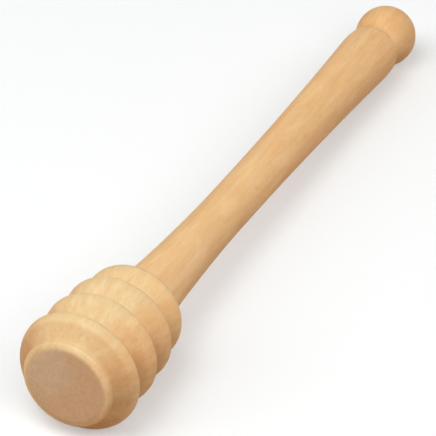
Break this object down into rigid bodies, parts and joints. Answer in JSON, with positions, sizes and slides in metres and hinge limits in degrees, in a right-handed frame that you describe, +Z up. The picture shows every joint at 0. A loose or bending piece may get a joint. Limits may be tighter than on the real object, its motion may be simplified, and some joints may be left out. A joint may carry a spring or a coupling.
{
  "type": "honey dipper",
  "caption": "Turned wooden honey dipper: a ridged beehive head with a flat end, on a slim waisted handle that ends in a ball knob, for lifting and drizzling honey.",
  "frame": {"origin": "on the table, under the middle of the dipper's length and width, as the dipper lies on its largest ridge and its ball", "axes": "+X from the head's flat end to the ball knob, +Z up from the table; the turning axis dips 2.45 degrees below +X towards the ball"},
  "size_m": [0.1634, 0.0268, 0.0269],
  "materials": {
    "head_wood": "fine sanded, unvarnished, faintly oiled",
    "handle_wood": "fine sanded, unvarnished, faintly oiled",
    "dried_glue": "dried food-safe wood glue, translucent cream"
  },
  "bodies": {
    "root": {"head": "head_wood", "handle": "handle_wood", "glue_film": "dried_glue"}
  },
  "joints": []
}
